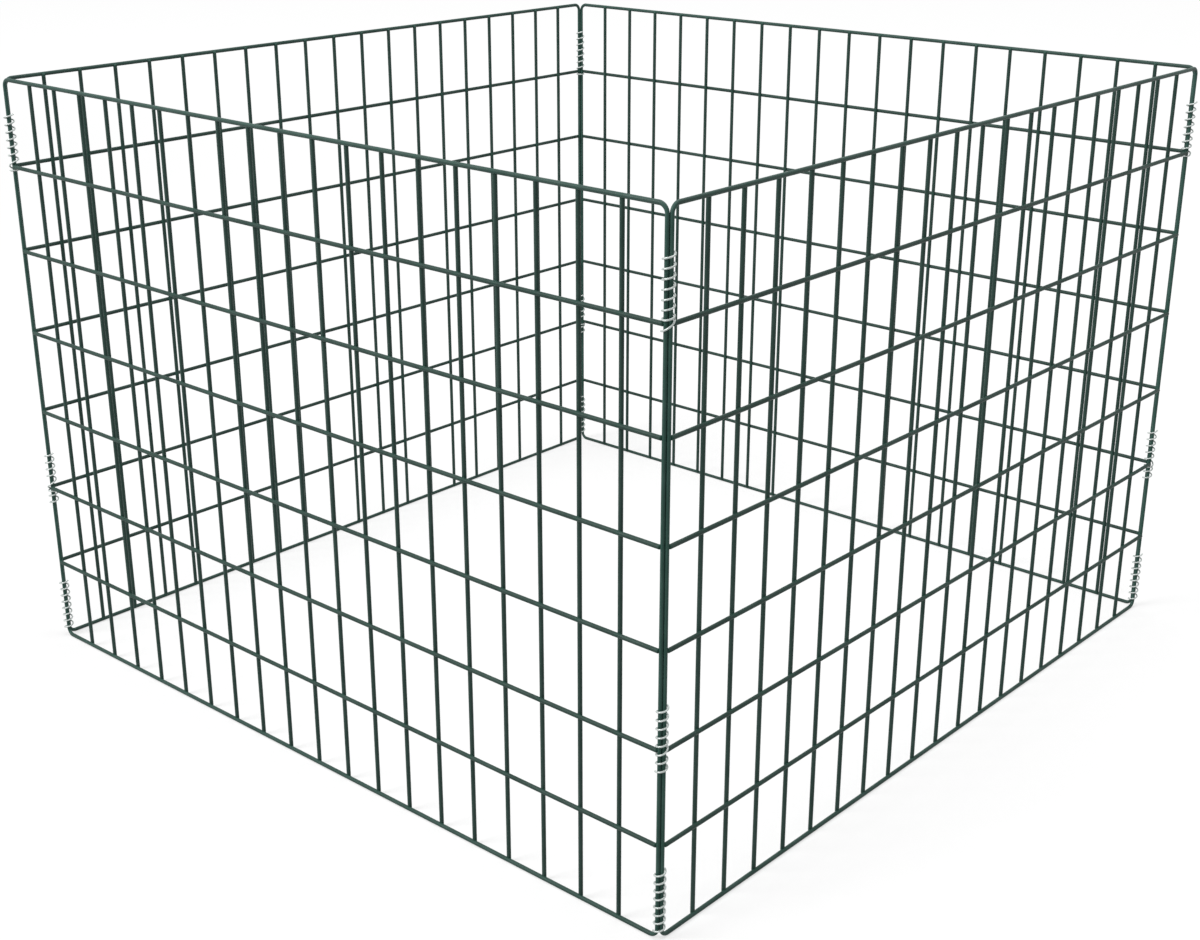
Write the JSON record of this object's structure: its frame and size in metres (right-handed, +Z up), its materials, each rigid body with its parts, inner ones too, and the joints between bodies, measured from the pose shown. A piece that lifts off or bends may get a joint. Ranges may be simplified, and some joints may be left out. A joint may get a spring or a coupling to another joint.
{
  "type": "wire mesh compost bin",
  "caption": "Square floorless compost bin of welded wire mesh panels, held together at the corners by spiral wires round the side rods, so that it folds up sideways.",
  "frame": {"origin": "on the ground, below the middle of the bin", "axes": "+X towards the right panel, +Y towards the back panel, +Z up"},
  "size_m": [1.0888, 1.0888, 0.771],
  "materials": {
    "green_coated_steel": "satin dark green coating",
    "zinc_plated_steel": "bright zinc plating"
  },
  "bodies": {
    "front_panel": {"front_frame": "green_coated_steel", "front_level_wire_1": "green_coated_steel", "front_level_wire_2": "green_coated_steel", "front_level_wire_3": "green_coated_steel", "front_level_wire_4": "green_coated_steel", "front_level_wire_5": "green_coated_steel", "front_level_wire_6": "green_coated_steel"},
    "front_left_spirals": {"front_left_spiral_top": "zinc_plated_steel", "front_left_spiral_middle": "zinc_plated_steel", "front_left_spiral_bottom": "zinc_plated_steel"},
    "left_panel": {"left_frame": "green_coated_steel", "left_level_wire_1": "green_coated_steel", "left_level_wire_2": "green_coated_steel", "left_level_wire_3": "green_coated_steel", "left_level_wire_4": "green_coated_steel", "left_level_wire_5": "green_coated_steel", "left_level_wire_6": "green_coated_steel"},
    "back_left_spirals": {"back_left_spiral_top": "zinc_plated_steel", "back_left_spiral_middle": "zinc_plated_steel", "back_left_spiral_bottom": "zinc_plated_steel"},
    "back_panel": {"back_frame": "green_coated_steel", "back_level_wire_1": "green_coated_steel", "back_level_wire_2": "green_coated_steel", "back_level_wire_3": "green_coated_steel", "back_level_wire_4": "green_coated_steel", "back_level_wire_5": "green_coated_steel", "back_level_wire_6": "green_coated_steel"},
    "back_right_spirals": {"back_right_spiral_top": "zinc_plated_steel", "back_right_spiral_middle": "zinc_plated_steel", "back_right_spiral_bottom": "zinc_plated_steel"},
    "right_panel": {"right_frame": "green_coated_steel", "right_level_wire_1": "green_coated_steel", "right_level_wire_2": "green_coated_steel", "right_level_wire_3": "green_coated_steel", "right_level_wire_4": "green_coated_steel", "right_level_wire_5": "green_coated_steel", "right_level_wire_6": "green_coated_steel"},
    "front_right_spirals": {"front_right_spiral_top": "zinc_plated_steel", "front_right_spiral_middle": "zinc_plated_steel", "front_right_spiral_bottom": "zinc_plated_steel"}
  },
  "joints": [
    {"name": "front_left_corner", "type": "hinge", "parent": "front_panel", "child": "left_panel", "pos_m": [-0.535, -0.53875, 0.385], "axis": [0, 0, 1], "range_deg": [-75, 75]},
    {"name": "back_left_corner", "type": "hinge", "parent": "left_panel", "child": "back_panel", "pos_m": [-0.53875, 0.535, 0.385], "axis": [0, 0, 1], "range_deg": [-75, 75]},
    {"name": "back_right_corner", "type": "hinge", "parent": "back_panel", "child": "right_panel", "pos_m": [0.535, 0.53875, 0.385], "axis": [0, 0, 1], "range_deg": [-75, 75]},
    {"name": "front_left_spirals_turn", "type": "hinge", "parent": "left_panel", "child": "front_left_spirals", "pos_m": [-0.53687, -0.53687, 0.385], "axis": [0, 0, 1], "range_deg": [-37.5, 37.5]},
    {"name": "back_left_spirals_turn", "type": "hinge", "parent": "back_panel", "child": "back_left_spirals", "pos_m": [-0.53687, 0.53687, 0.385], "axis": [0, 0, 1], "range_deg": [-37.5, 37.5]},
    {"name": "back_right_spirals_turn", "type": "hinge", "parent": "right_panel", "child": "back_right_spirals", "pos_m": [0.53687, 0.53687, 0.385], "axis": [0, 0, 1], "range_deg": [-37.5, 37.5]},
    {"name": "front_right_spirals_turn", "type": "hinge", "parent": "front_panel", "child": "front_right_spirals", "pos_m": [0.53687, -0.53687, 0.385], "axis": [0, 0, 1], "range_deg": [-37.5, 37.5]}
  ],
  "couplings": [
    {"joint": "back_left_corner", "follows": "front_left_corner", "ratio": -1},
    {"joint": "back_right_corner", "follows": "front_left_corner", "ratio": 1},
    {"joint": "front_left_spirals_turn", "follows": "front_left_corner", "ratio": -0.5},
    {"joint": "back_left_spirals_turn", "follows": "front_left_corner", "ratio": 0.5},
    {"joint": "back_right_spirals_turn", "follows": "front_left_corner", "ratio": -0.5},
    {"joint": "front_right_spirals_turn", "follows": "front_left_corner", "ratio": 0.5}
  ]
}
